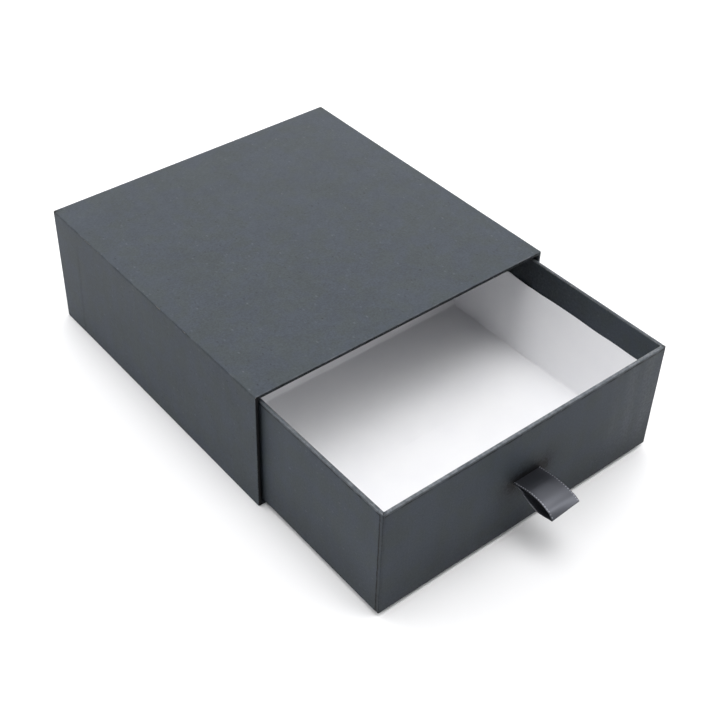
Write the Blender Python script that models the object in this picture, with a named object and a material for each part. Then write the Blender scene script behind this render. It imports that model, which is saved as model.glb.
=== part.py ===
"""Sliding drawer gift box: a paper-wrapped greyboard sleeve, its drawer and the ribbon that pulls it.

Metres, +Z up. X runs across the box and the drawer opens toward -Y. The origin is the centre of the
sleeve's underside, and the drawer stands partly open.
"""
import math

import bmesh
import bpy
from mathutils import Vector
from mathutils.geometry import interpolate_bezier

mm = 0.001

# Sleeve, outside its paper
sleeveWidth = 170 * mm
sleeveDepth = 173 * mm
sleeveHeight = 67 * mm
sleeveTurnIn = 19 * mm
sleeveLiningOverlap = 4 * mm
backFlap = 20 * mm
wrapSetback = 1 * mm

# Drawer, and how it sits in the sleeve
drawerDepth = 132.5 * mm
drawerOut = 80 * mm
sideClearance = 0.6 * mm
rightGap = 0.15 * mm
runningGap = 0.2 * mm
headroom = 2.5 * mm
drawerTurnIn = 18.5 * mm
linerOverlap = 3.3 * mm
stayLeg = 18 * mm
stayMargin = 2 * mm

# Sheet materials, and the glue between them
boardThickness = 1.4 * mm
paperThickness = 0.12 * mm
liningThickness = 0.12 * mm
glueLine = 0.03 * mm

# Folds in an inside corner, where the paper stands off the boards
turnInRadius = 0.3 * mm
linerRadius = 1 * mm

# Ribbon and the slit it passes through
ribbonWidth = 16 * mm
ribbonThickness = 0.3 * mm
slitSideSlack = 0.4 * mm
slitSlack = 0.15 * mm
slitHeightShare = 0.5
tailMargin = 2.2 * mm
ribbonStub = 0.3 * mm
hingeGap = 0.1 * mm

# Loop of ribbon: how far it stands out from the drawer, and how its two layers bow and droop
pullReach = 23 * mm
pullRise = 1.8 * mm
pullSag = 6 * mm
pullDrop = 2.9 * mm
loopOpenShare = 0.05

# Side view of each layer: share of the loop's length, of its rise or sag, and of its drop
upperLayerShares = ((0, 0, 0), (0.2, 0.35, 0), (0.42, 0.8, 0), (0.6, 1, 0),
                    (0.76, 0.85, 0), (0.89, 0.25, 0.2), (1, 0, 1))
lowerLayerShares = ((0, 0, 0), (0.14, 0.06, 0), (0.28, 0.27, 0), (0.42, 0.62, 0),
                    (0.58, 0.95, 0), (0.74, 1, 0), (0.88, 0.66, 0.25), (1, 0, 1))

# How finely curves are drawn, and the sharpest angle that is shaded smooth
cornerSteps = 3
foldSteps = 3
trayFoldSteps = 5
ribbonSteps = 4
ribbonEndSteps = 6
smoothAngle = math.radians(35)

# Surfaces: linear red, green, blue, then roughness
surfaces = {
    "greyboard": ((0.25, 0.235, 0.21), 0.9),
    "slatePaper": ((0.105, 0.12, 0.138), 0.62),
    "whitePaper": ((0.86, 0.86, 0.87), 0.7),
    "paperTape": ((0.62, 0.55, 0.44), 0.8),
    "blackSatin": ((0.018, 0.018, 0.022), 0.38),
}

# A wrap leaves room for a flap or a stay under it, but lies straight on the board over an edge and inside
coverGap = glueLine + paperThickness + glueLine
wrapOut = coverGap + paperThickness
turnedOut = glueLine + paperThickness
liningGap = turnedOut + glueLine
linerGap = glueLine + max(paperThickness, ribbonThickness) + glueLine
boardStep = boardThickness + glueLine

# Boards of the sleeve, by their outer faces and edges
sleeveBoardX = sleeveWidth / 2 - wrapOut
sleeveBoardLowZ = wrapOut
sleeveBoardHighZ = sleeveHeight - wrapOut
sleeveMiddleZ = sleeveHeight / 2
sleeveMouthY = -sleeveDepth / 2 + turnedOut
sleeveRearY = sleeveDepth / 2 - turnedOut
sleeveWall = wrapOut + boardThickness + liningGap + liningThickness

# Drawer, which takes its size from the room inside the sleeve and stands near the right wall
drawerWidth = sleeveWidth - 2 * (sleeveWall + sideClearance)
drawerHeight = sleeveHeight - 2 * sleeveWall - runningGap - headroom
drawerPlace = (sideClearance - rightGap, -sleeveDepth / 2 - drawerOut, sleeveWall + runningGap)

# Boards of the drawer, measured from the middle of the lower edge of its front
drawerBoardX = drawerWidth / 2 - wrapOut
drawerBoardFrontY = wrapOut
drawerBoardRearY = drawerDepth - wrapOut
drawerMiddleY = drawerDepth / 2
drawerBoardLowZ = turnedOut
drawerWallLowZ = drawerBoardLowZ + boardStep
drawerBoardHighZ = drawerHeight - turnedOut

# Ribbon, measured the same way: its slit, its tails behind the front board under the turn-in, its hinge
slitZ = drawerHeight * slitHeightShare
slitOverrun = boardThickness / 2
tailY = drawerBoardFrontY + boardStep
tailTopZ = drawerBoardHighZ - drawerTurnIn - tailMargin
hingeOut = ribbonStub + hingeGap + ribbonThickness
pullLength = pullReach - hingeOut - ribbonThickness


def clearScene():
    """Start from an empty scene."""
    for obj in list(bpy.data.objects):
        bpy.data.objects.remove(obj, do_unlink=True)


def makeMaterial(name, surface):
    """Principled material of one piece."""
    color, roughness = surfaces[surface]
    material = bpy.data.materials.new(name)
    material.use_nodes = True
    shader = material.node_tree.nodes["Principled BSDF"]
    shader.inputs["Base Color"].default_value = (*color, 1)
    shader.inputs["Roughness"].default_value = roughness
    shader.inputs["Metallic"].default_value = 0
    return material


def makeFrame(name, location, parent=None):
    """Empty that carries the pieces of one moving body."""
    empty = bpy.data.objects.new(name, None)
    bpy.context.scene.collection.objects.link(empty)
    empty.empty_display_size = sleeveHeight / 2
    empty.location = location
    empty.parent = parent
    return empty


def makeObject(name, mesh, surface, parent=None):
    """Bmesh to a named object with a material of its own."""
    bmesh.ops.recalc_face_normals(mesh, faces=mesh.faces[:])
    data = bpy.data.meshes.new(name)
    mesh.to_mesh(data)
    mesh.free()
    data.shade_smooth()
    data.set_sharp_from_angle(angle=smoothAngle)
    data.materials.append(makeMaterial(name, surface))
    obj = bpy.data.objects.new(name, data)
    bpy.context.scene.collection.objects.link(obj)
    obj.parent = parent
    return obj


def boxMesh(low, high):
    """Box between two opposite corners."""
    mesh = bmesh.new()
    bmesh.ops.create_cube(mesh, size=1)
    low, high = Vector(low), Vector(high)
    bmesh.ops.scale(mesh, vec=high - low, verts=mesh.verts)
    bmesh.ops.translate(mesh, vec=(low + high) / 2, verts=mesh.verts)
    return mesh


def extrudedMesh(outlines, direction):
    """Flat outline in space, less any holes that follow it in the list, extruded in one direction."""
    mesh = bmesh.new()
    edges = []
    for outline in outlines:
        verts = [mesh.verts.new(point) for point in outline]
        edges += [mesh.edges.new(pair) for pair in zip(verts, verts[1:] + verts[:1])]
    bmesh.ops.triangle_fill(mesh, use_beauty=True, edges=edges)
    grown = bmesh.ops.extrude_face_region(mesh, geom=mesh.faces[:])["geom"]
    moved = [item for item in grown if isinstance(item, bmesh.types.BMVert)]
    bmesh.ops.translate(mesh, vec=direction, verts=moved)
    return mesh


def arc(centre, radii, startTurn, endTurn, steps):
    """Points on an ellipse from one turn to another; turns are in quarters."""
    points = []
    for step in range(steps + 1):
        angle = (startTurn + (endTurn - startTurn) * step / steps) * math.pi / 2
        points.append((centre[0] + radii[0] * math.cos(angle), centre[1] + radii[1] * math.sin(angle)))
    return points


def roundedLoop(halfWidth, halfHeight, radius):
    """Rectangle with round corners, counter-clockwise."""
    points = []
    for turn, (sideX, sideY) in enumerate(((1, 1), (-1, 1), (-1, -1), (1, -1))):
        centre = (sideX * (halfWidth - radius), sideY * (halfHeight - radius))
        points += arc(centre, (radius, radius), turn, turn + 1, cornerSteps)
    return points


def foldedSheet(rings, capped):
    """Sheet as a solid: rings joined in turn, then closed by two caps or back onto the first ring."""
    mesh = bmesh.new()
    loops = [[mesh.verts.new(point) for point in ring] for ring in rings]
    pairs = list(zip(loops, loops[1:]))
    if capped:
        mesh.faces.new(loops[0])
        mesh.faces.new(loops[-1])
    else:
        pairs.append((loops[-1], loops[0]))
    for first, second in pairs:
        for a, b, c, d in zip(first, first[1:] + first[:1], second[1:] + second[:1], second):
            mesh.faces.new((a, b, c, d))
    return mesh


def wrapCornerRadius(out):
    """Radius of a wrap's corner, tight on the boards outside them and slack inside them."""
    if out > -boardThickness / 2:
        return max(out, 0) + glueLine
    return turnInRadius + turnedOut + boardThickness + out


def turnedSection(foot, end, turnIn):
    """Section of a wrap that is turned in over the boards' edge, as (out, along, corner radius).

    out is measured from the boards' outer face and along is across the fold. The face that shows
    starts with the points of foot, goes over the edge at end and back turnIn inside it. The face
    against the boards comes back to the last of foot's own out and along, which closes the section.
    """
    inner = -boardThickness
    shown = foot[:-1] + arc((0, end), (wrapOut, turnedOut), 0, 1, foldSteps)
    shown += arc((inner, end), (turnedOut, turnedOut), 1, 2, foldSteps)
    shown.append((inner - turnedOut, end - turnIn))
    hidden = [(inner - glueLine, end - turnIn), (inner - glueLine, end + glueLine),
              (coverGap, end + glueLine), foot[-1]]
    return [(out, along, wrapCornerRadius(out)) for out, along in shown + hidden]


def traySection(inside, outside, floor, mouth, radius):
    """Section of a sheet folded into a tray, as (out, along, corner radius).

    inside and outside are the sheet's two faces beside the walls, floor holds its two faces across
    the end, outer first, and mouth is where the walls stop.
    """
    section = []
    direction = math.copysign(1, mouth - floor[0])
    for out, level, bend in ((outside, floor[0], radius + outside - inside), (inside, floor[1], radius)):
        side = arc((out - bend, level + direction * bend), (bend, direction * bend), -1, 0, trayFoldSteps)
        side.append((out, mouth))
        section.append([(wide, along, bend) for wide, along in side])
    return section[0] + section[1][::-1]


def ringsInPlan(section):
    """Section swept round the drawer's boards; along is height."""
    halfY = (drawerBoardRearY - drawerBoardFrontY) / 2
    return [[(x, y + drawerMiddleY, along) for x, y in roundedLoop(drawerBoardX + out, halfY + out, radius)]
            for out, along, radius in section]


def ringsAlongSleeve(section):
    """Section swept round the sleeve's boards; along is the Y position."""
    halfZ = (sleeveBoardHighZ - sleeveBoardLowZ) / 2
    return [[(x, along, z + sleeveMiddleZ) for x, z in roundedLoop(sleeveBoardX + out, halfZ + out, radius)]
            for out, along, radius in section]


def buildSleeveBoards():
    """Top and bottom run full size, the sides stand between them and the back fits inside all four."""
    lowZ, highZ = sleeveBoardLowZ + boardStep, sleeveBoardHighZ - boardStep
    backX = sleeveBoardX - boardStep
    panels = {
        "sleeve_bottom_board": ((-sleeveBoardX, sleeveMouthY, sleeveBoardLowZ),
                                (sleeveBoardX, sleeveRearY, sleeveBoardLowZ + boardThickness)),
        "sleeve_top_board": ((-sleeveBoardX, sleeveMouthY, sleeveBoardHighZ - boardThickness),
                             (sleeveBoardX, sleeveRearY, sleeveBoardHighZ)),
        "sleeve_left_board": ((-sleeveBoardX, sleeveMouthY, lowZ),
                              (-sleeveBoardX + boardThickness, sleeveRearY, highZ)),
        "sleeve_right_board": ((sleeveBoardX - boardThickness, sleeveMouthY, lowZ),
                               (sleeveBoardX, sleeveRearY, highZ)),
        "sleeve_back_board": ((-backX, sleeveRearY - boardThickness, lowZ), (backX, sleeveRearY, highZ)),
    }
    for name, (low, high) in panels.items():
        makeObject(name, boxMesh(low, high), "greyboard")


def buildSleeveWrap():
    """Paper round the four sides, from just short of the back to its turn-in at the mouth."""
    endY = sleeveDepth / 2 - wrapSetback
    section = turnedSection([(wrapOut, -endY), (coverGap, -endY)], -sleeveMouthY, sleeveTurnIn)
    section = [(out, -along, radius) for out, along, radius in section]
    makeObject("sleeve_wrap", foldedSheet(ringsAlongSleeve(section), capped=False), "slatePaper")


def buildSleeveBackCover():
    """Paper on the back, with its flaps under the wrap."""
    floor = (sleeveRearY + turnedOut, sleeveRearY + glueLine)
    section = traySection(glueLine, turnedOut, floor, sleeveDepth / 2 - backFlap, glueLine)
    makeObject("sleeve_back_cover", foldedSheet(ringsAlongSleeve(section), capped=True), "slatePaper")


def buildSleeveLining():
    """Paper inside, from the back to just over the cut edge of the turn-in."""
    outside = -boardThickness - liningGap
    rearY = sleeveRearY - boardStep
    mouthY = sleeveMouthY + sleeveTurnIn - sleeveLiningOverlap
    section = traySection(outside - liningThickness, outside, (rearY, rearY - liningThickness),
                          mouthY, turnInRadius)
    makeObject("sleeve_lining", foldedSheet(ringsAlongSleeve(section), capped=True), "slatePaper")


def buildDrawerBoards(frame):
    """Front and back stand on the base's full width, and the sides fit between them."""
    front, rear = drawerBoardFrontY, drawerBoardRearY
    panels = {
        "drawer_base_board": ((-drawerBoardX, front, drawerBoardLowZ),
                              (drawerBoardX, rear, drawerBoardLowZ + boardThickness)),
        "drawer_front_board": ((-drawerBoardX, front, drawerWallLowZ),
                               (drawerBoardX, front + boardThickness, drawerBoardHighZ)),
        "drawer_back_board": ((-drawerBoardX, rear - boardThickness, drawerWallLowZ),
                              (drawerBoardX, rear, drawerBoardHighZ)),
        "drawer_left_board": ((-drawerBoardX, front + boardStep, drawerWallLowZ),
                              (-drawerBoardX + boardThickness, rear - boardStep, drawerBoardHighZ)),
        "drawer_right_board": ((drawerBoardX - boardThickness, front + boardStep, drawerWallLowZ),
                               (drawerBoardX, rear - boardStep, drawerBoardHighZ)),
    }
    return {name: makeObject(name, boxMesh(low, high), "greyboard", frame)
            for name, (low, high) in panels.items()}


def buildCornerStays(frame):
    """Tape folded round each upright corner, between the boards and the wrap."""
    lowZ, highZ = drawerWallLowZ + stayMargin, drawerBoardHighZ - stayMargin
    outline = [(-stayLeg, glueLine), (glueLine, glueLine), (glueLine, -stayLeg), (turnedOut, -stayLeg)]
    outline += arc((0, 0), (turnedOut, turnedOut), 0, 1, cornerSteps)
    outline.append((-stayLeg, turnedOut))
    for endName, endSide, faceY in (("front", -1, drawerBoardFrontY), ("back", 1, drawerBoardRearY)):
        for sideName, side in (("left", -1), ("right", 1)):
            placed = [(side * (drawerBoardX + out), faceY + endSide * along, lowZ) for out, along in outline]
            mesh = extrudedMesh([placed], (0, 0, highZ - lowZ))
            makeObject(f"corner_stay_{endName}_{sideName}", mesh, "paperTape", frame)


def buildDrawerWrap(frame):
    """Paper over the base and walls in one sheet, turned in over the rim."""
    foot = arc((0, drawerBoardLowZ), (wrapOut, turnedOut), -1, 0, foldSteps)
    foot.append((coverGap, drawerBoardLowZ - glueLine))
    rings = ringsInPlan(turnedSection(foot, drawerBoardHighZ, drawerTurnIn))
    return makeObject("drawer_wrap", foldedSheet(rings, capped=True), "slatePaper", frame)


def buildDrawerLiner(frame):
    """White paper inside, up to just over the cut edge of the turn-in."""
    outside = -boardThickness - linerGap
    mouthZ = drawerBoardHighZ - drawerTurnIn + linerOverlap
    section = traySection(outside - liningThickness, outside,
                          (drawerWallLowZ, drawerWallLowZ + liningThickness), mouthZ, linerRadius)
    makeObject("drawer_liner", foldedSheet(ringsInPlan(section), capped=True), "whitePaper", frame)


def cutSlit(frame, targets):
    """Slit for the doubled ribbon through the wrap and the front board."""
    halfWidth = ribbonWidth / 2 + slitSideSlack
    halfHeight = ribbonThickness + slitSlack
    mesh = boxMesh((-halfWidth, -slitOverrun, slitZ - halfHeight),
                   (halfWidth, tailY + slitOverrun, slitZ + halfHeight))
    cutter = makeObject("slit_cutter", mesh, "slatePaper", frame)
    cutter.hide_render = True
    cutter.display_type = "WIRE"
    for target in targets:
        cut = target.modifiers.new("slit", "BOOLEAN")
        cut.operation = "DIFFERENCE"
        cut.object = cutter


def buildRibbonTails(frame):
    """Ribbon doubled through the slit, its two ends parted up and down behind the front board."""
    tail = tailTopZ - slitZ
    back = tailY + ribbonThickness
    outline = [(-ribbonStub, -ribbonThickness), (tailY, -ribbonThickness), (tailY, -tail), (back, -tail),
               (back, tail), (tailY, tail), (tailY, ribbonThickness), (-ribbonStub, ribbonThickness)]
    placed = [(-ribbonWidth / 2, y, slitZ + up) for y, up in outline]
    mesh = extrudedMesh([placed], (ribbonWidth, 0, 0))
    makeObject("ribbon_tails", mesh, "blackSatin", frame)


def smoothThrough(points):
    """Smooth curve through the points, each stretch sloped like the chord of its neighbours."""
    padded = [points[0], *points, points[-1]]
    curve = [points[0]]
    for before, start, end, after in zip(padded, padded[1:], padded[2:], padded[3:]):
        startHandle = start + (end - before) / 6
        endHandle = end - (after - start) / 6
        curve += interpolate_bezier(start, startHandle, endHandle, end, ribbonSteps + 1)[1:]
    return curve


def layerLine(shares, side, height):
    """Middle line of the loop's upper or lower layer, from the hinge to the fold, as (out, up)."""
    return smoothThrough([Vector((along * pullLength,
                                  side * (ribbonThickness / 2 + bow * height) - fall * pullDrop))
                          for along, bow, fall in shares])


def offsetLine(line, distance):
    """Line moved to its left by a distance, each point square to its neighbours."""
    moved = []
    for before, point, after in zip(line[:1] + line, line, line[1:] + line[-1:]):
        direction = (after - before).normalized()
        moved.append(point + Vector((-direction.y, direction.x)) * distance)
    return moved


def buildPullRibbon(frame):
    """Loop of ribbon: two layers that meet in a round heel on the hinge axis and in the fold."""
    half = ribbonThickness / 2
    endRadii = (ribbonThickness, ribbonThickness)
    upper = layerLine(upperLayerShares, 1, pullRise)
    lower = layerLine(lowerLayerShares, -1, pullSag)
    outer = arc((0, 0), endRadii, 3, 1, ribbonEndSteps) + offsetLine(upper, half)[1:-1]
    outer += arc((pullLength, -pullDrop), endRadii, 1, -1, ribbonEndSteps) + offsetLine(lower, -half)[-2:0:-1]
    upperInside = [point for point in offsetLine(upper, -half)[:-1] if point.x > pullLength * loopOpenShare]
    lowerInside = [point for point in offsetLine(lower, half)[:-1] if point.x > pullLength * loopOpenShare]
    placed = [[(-ribbonWidth / 2, -out, up) for out, up in outline]
              for outline in (outer, upperInside + lowerInside[::-1])]
    makeObject("pull_ribbon", extrudedMesh(placed, (ribbonWidth, 0, 0)), "blackSatin", frame)


def main():
    clearScene()
    buildSleeveBoards()
    buildSleeveWrap()
    buildSleeveBackCover()
    buildSleeveLining()
    drawer = makeFrame("drawer_frame", drawerPlace)
    drawerBoards = buildDrawerBoards(drawer)
    buildCornerStays(drawer)
    drawerWrap = buildDrawerWrap(drawer)
    buildDrawerLiner(drawer)
    cutSlit(drawer, (drawerBoards["drawer_front_board"], drawerWrap))
    buildRibbonTails(drawer)
    buildPullRibbon(makeFrame("pull_hinge", (0, -hingeOut, slitZ), drawer))


main()
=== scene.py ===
import math

import bpy
import numpy as np
from mathutils import Matrix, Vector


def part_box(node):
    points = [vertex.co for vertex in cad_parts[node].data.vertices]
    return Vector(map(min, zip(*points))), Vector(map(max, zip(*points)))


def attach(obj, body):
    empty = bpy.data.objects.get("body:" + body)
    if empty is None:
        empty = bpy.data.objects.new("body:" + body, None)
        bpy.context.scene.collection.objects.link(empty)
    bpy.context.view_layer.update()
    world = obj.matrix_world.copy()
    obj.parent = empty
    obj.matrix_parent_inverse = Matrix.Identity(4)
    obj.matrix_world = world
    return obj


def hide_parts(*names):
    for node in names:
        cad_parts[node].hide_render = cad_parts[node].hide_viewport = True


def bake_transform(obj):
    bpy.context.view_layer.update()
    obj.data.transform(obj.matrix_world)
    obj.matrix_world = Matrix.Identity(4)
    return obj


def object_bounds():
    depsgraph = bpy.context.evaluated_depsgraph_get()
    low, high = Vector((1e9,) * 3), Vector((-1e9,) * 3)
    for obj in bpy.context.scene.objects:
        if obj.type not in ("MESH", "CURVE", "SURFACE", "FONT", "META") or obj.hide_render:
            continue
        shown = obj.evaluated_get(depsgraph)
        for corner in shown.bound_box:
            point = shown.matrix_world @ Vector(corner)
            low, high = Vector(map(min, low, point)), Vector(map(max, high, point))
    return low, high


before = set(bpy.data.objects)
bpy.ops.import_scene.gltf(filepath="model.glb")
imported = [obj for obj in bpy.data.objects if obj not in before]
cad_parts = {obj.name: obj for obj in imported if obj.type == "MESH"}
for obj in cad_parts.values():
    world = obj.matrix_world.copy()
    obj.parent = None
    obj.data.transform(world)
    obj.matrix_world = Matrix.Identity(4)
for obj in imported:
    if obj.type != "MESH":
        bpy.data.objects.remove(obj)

# Looks of the sliding drawer gift box: its papers as folded sheets, the ribbon as one strip, and a studio
cadBox = [list(corner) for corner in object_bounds()]
mm = 0.001
degree = math.pi / 180
# least divisors, so that nothing is divided by zero
tinyLength = 1e-9
tinyArea = 1e-12
# grids of the sheets: the step is fine at each fold and grows by a share of the distance from it up to
# coarse, a round corner takes no more than its share of a short side, and points closer than weld are one
sheetGrid = {
    "fine": 0.2 * mm, "coarse": 3 * mm, "growthShare": 0.3, "samples": 6000, "radiusShare": 0.999,
    "weld": 0.002 * mm}
# smooth noise: the number of its sines, and how much sparser and denser than asked they may be
smoothNoise = {"sines": 9, "densityShares": (0.6, 1.5)}


# One colour as linear light: each sRGB part is (c + 0.055) / 1.055 to the power 2.4, or c / 12.92 where dark
def hexColour(code):
    parts = np.array([int(code[place:place + 2], 16) for place in (1, 3, 5)]) / 255
    linear = np.where(parts > 0.04045, ((parts + 0.055) / 1.055) ** 2.4, parts / 12.92)
    return (*linear.tolist(), 1)


# Adds one node and gives its output: settings are its properties, and values are numbers, hex colours or
# sockets for its inputs by name or place; without an output it gives the node
def addNode(tree, kind, values=None, output=0, **settings):
    node = tree.nodes.new("ShaderNode" + kind)
    for name, setting in settings.items():
        setattr(node, name, setting)
    for key, value in (values or {}).items():
        if isinstance(value, bpy.types.NodeSocket):
            tree.links.new(value, node.inputs[key])
        else:
            node.inputs[key].default_value = hexColour(value) if isinstance(value, str) else value
    return node if output is None else node.outputs[output]


# Material with an empty node tree
def newMaterial(name):
    material = bpy.data.materials.new(name)
    material.use_nodes = True
    material.node_tree.nodes.clear()
    return material, material.node_tree


# Ends a material with its relief, its shader with the look's own constants, and its output
def finishMaterial(material, look, base, height):
    tree = material.node_tree
    bump = addNode(tree, "Bump", {"Height": height, **look["bump"]})
    shader = addNode(tree, "BsdfPrincipled", {"Base Color": base, "Normal": bump, **look["shader"]})
    addNode(tree, "OutputMaterial", {"Surface": shader}, output=None)
    return material


# Distance of each place from the nearest mark
def fromNearest(places, marks):
    return np.abs(places[:, None] - np.array(marks)[None, :]).min(axis=1)


# Places along a line from zero: the sum of one over the step grows evenly from place to place, and the
# place nearest to each mark is moved onto it
def placesAlong(length, marks, fine):
    dense = np.linspace(0, length, sheetGrid["samples"])
    step = np.minimum(fine + sheetGrid["growthShare"] * fromNearest(dense, marks), sheetGrid["coarse"])
    count = np.concatenate([[0], np.cumsum((dense[1] - dense[0]) / step[:-1])])
    places = np.interp(np.linspace(0, count[-1], math.ceil(count[-1]) + 1), count, dense)
    for mark in marks:
        places[np.abs(places - mark).argmin()] = mark
    return places


# Places along a line through the corners, the point at each of them, and the places of the corners
def alongCorners(corners, extraMarks=(), fine=sheetGrid["fine"]):
    corners = np.array(corners, float)
    reached = np.concatenate([[0], np.cumsum(np.hypot(*np.diff(corners, axis=0).T))])
    places = placesAlong(reached[-1], [*reached, *extraMarks], fine)
    points = np.stack([np.interp(places, reached, corners[:, axis]) for axis in (0, 1)], axis=-1)
    return places, points, reached


# The same along the closed outline of a rectangle with these half sizes, without its last point
def alongRectangle(a, b, extraMarks=(), fine=sheetGrid["fine"]):
    places, points, reached = alongCorners([(-a, -b), (a, -b), (a, b), (-a, b), (-a, -b)], extraMarks, fine)
    return places[:-1], points[:-1], reached


# Rounds the right angle between two planes: a point at distance d < r from the corner turns by
# (1 - d / r) of an eighth of a circle, so it lies r - r sin from one plane and r - r cos from the other
def roundOff(first, second, radius):
    first, second, radius = np.broadcast_arrays(first, second, radius)
    distance = np.maximum(first, second)
    turn = np.clip(1 - distance / np.maximum(radius, tinyLength), 0, 1) * math.pi / 4
    longer = np.where(distance < radius, radius - radius * np.sin(turn), distance)
    shorter = np.where(distance < radius, radius - radius * np.cos(turn), 0)
    return np.where(first >= second, longer, shorter), np.where(first >= second, shorter, longer)


# Line through right-angled corners, rounded by roundOff at those between its ends
def roundedLine(points, places, corners, reached, radii):
    corners = np.array(corners, float)
    for before, corner, after, place, radius in zip(corners, corners[1:], corners[2:], reached[1:], radii):
        inward = (corner - before) / np.hypot(*(corner - before))
        outward = (after - corner) / np.hypot(*(after - corner))
        back, ahead = roundOff(np.maximum(place - places, 0), np.maximum(places - place, 0), radius)
        rounded = corner - back[:, None] * inward + ahead[:, None] * outward
        points = np.where((np.abs(places - place) < radius)[:, None], rounded, points)
    return points


# Grid of rectangles with round corners, one for each inset: every ring is the outline drawn in by its
# inset, scaled from the outer one, with its corners rounded by roundOff
def ringGrid(ring, halfSize, inset, radius):
    inset, radius = inset[:, None], radius[:, None]
    halves = [half - inset for half in halfSize]
    sharp = [ring[None, :, axis] * halves[axis] / halfSize[axis] for axis in (0, 1)]
    gaps = [halves[axis] - np.abs(sharp[axis]) for axis in (0, 1)]
    radius = np.minimum(radius, np.minimum(*halves) * sheetGrid["radiusShare"])
    gaps = roundOff(gaps[0], gaps[1], radius)
    return [np.sign(sharp[axis]) * (halves[axis] - gaps[axis]) for axis in (0, 1)]


# Smooth noise between about -1 and 1: the sum of sines of random direction, length and phase, over the
# square root of their number
def waves(points, length, seed):
    count = smoothNoise["sines"]
    random = np.random.default_rng(seed)
    directions = random.normal(size=(count, points.shape[-1]))
    directions /= np.linalg.norm(directions, axis=1, keepdims=True)
    directions *= 2 * math.pi / length * random.uniform(*smoothNoise["densityShares"], (count, 1))
    phases = random.uniform(0, 2 * math.pi, count)
    total = sum(np.sin(points @ direction + phase) for direction, phase in zip(directions, phases))
    return total / math.sqrt(count)


# Uneven value over the points: a mean, and for each (amount, length, seed) that amount of waves
def uneven(points, mean, *layers):
    return sum((amount * waves(points, length, seed) for amount, length, seed in layers), mean)


# 0 below the start, 1 above the end, and 3t^2 - 2t^3 between
def ramp(value, start, end):
    share = np.clip((value - start) / (end - start), 0, 1)
    return share * share * (3 - 2 * share)


# Bell that is 1 at zero: e to the power of minus the square of the distance over the width
def bell(distance, width):
    return np.exp(-(distance / width) ** 2)


# Square to the grid at each point: the cross product of its differences along rows and columns
def gridNormals(points, closed):
    if closed:
        points = np.concatenate([points[:, -1:], points, points[:, :1]], axis=1)
    normals = np.cross(np.gradient(points, axis=1), np.gradient(points, axis=0))
    normals = normals / np.maximum(np.linalg.norm(normals, axis=-1, keepdims=True), tinyArea)
    return normals[:, 1:-1] if closed else normals


# Sheet from a grid of points: each cell is a face, less the holes, and the thickness goes behind the faces,
# or to both sides where the offset is 0; values are kept at the points for the material
def makeSheet(name, points, body, material, thickness, closed=False, turned=False, holes=None, offset=-1,
              **values):
    rows, columns = points.shape[:2]
    index = np.arange(rows * columns).reshape(rows, columns)
    right = np.roll(index, -1, axis=1) if closed else index[:, 1:]
    left = index if closed else index[:, :-1]
    faces = np.stack([left[:-1], right[:-1], right[1:], left[1:]], axis=-1)
    if holes is not None:
        faces = faces[~holes]
    faces = faces.reshape(-1, 4)
    if turned:
        faces = faces[:, ::-1]
    mesh = bpy.data.meshes.new(name)
    mesh.from_pydata(points.reshape(-1, 3), [], faces.tolist())
    for attribute, value in values.items():
        data = np.broadcast_to(value, (rows, columns)).astype(np.float32)
        mesh.attributes.new(attribute, "FLOAT", "POINT").data.foreach_set("value", data.ravel())
    mesh.shade_smooth()
    piece = bpy.data.objects.new(name, mesh)
    bpy.context.scene.collection.objects.link(piece)
    mesh.materials.append(material)
    weld = piece.modifiers.new("weld", "WELD")
    weld.merge_threshold = sheetGrid["weld"]
    solid = piece.modifiers.new("thickness", "SOLIDIFY")
    solid.thickness = thickness
    solid.offset = offset
    solid.use_even_offset = True
    if body:
        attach(piece, body)
    return piece


# patterns: size, detail and roughness of each; marks: colour of each attribute, and the patches it shows in
# the paler colour is for real wear and for painted light; the near-black one is for creases, joints and
# painted shade, and for dark fibres
slatePaper = {
    "colour": "#343A42", "tinge": "#343A3E", "wornAndLit": "#686B70", "pale": "#5A5F66", "crease": "#08090B",
    "patterns": {"grain": (0.9 * mm, 4, 0.65), "mottle": (22 * mm, 3, 0.5), "dye": (9 * mm, 3, 0.5),
                 "streak": (7 * mm, 2, 0.5), "scuff": (1.5 * mm, 4, 0.7)},
    "streakStretch": (1, 1, 0.12), "dyeRange": {"From Min": 0.4, "From Max": 0.6},
    "tones": {"grain": {"From Min": 0.25, "From Max": 0.75, "To Min": 0.76, "To Max": 1.24},
              "mottle": {"From Min": 0.3, "From Max": 0.7, "To Min": 0.95, "To Max": 1.05},
              "streak": {"From Min": 0.35, "From Max": 0.65, "To Min": 0.97, "To Max": 1.03}},
    "speck": 2.2 * mm, "speckStretch": (1, 0.6, 1), "speckEdge": {"From Min": 0.26, "From Max": 0.08},
    "specks": {"pale": {"From Min": 0.6, "From Max": 0.95, "To Max": 0.45},
               "crease": {"From Min": 0.4, "From Max": 0.1, "To Max": 0.45}},
    "marks": {"wear": ("wornAndLit", {"From Min": 0.42, "From Max": 0.58, "To Min": 0.4}),
              "crease": ("crease", {"From Min": 0.62, "From Max": 0.42, "To Min": 0.45})},
    "scuffRelief": 0.5, "bump": {"Strength": 0.35, "Distance": 0.06 * mm},
    "shader": {"Roughness": 0.62, "IOR": 1.5, "Specular IOR Level": 0.2}}
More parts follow.
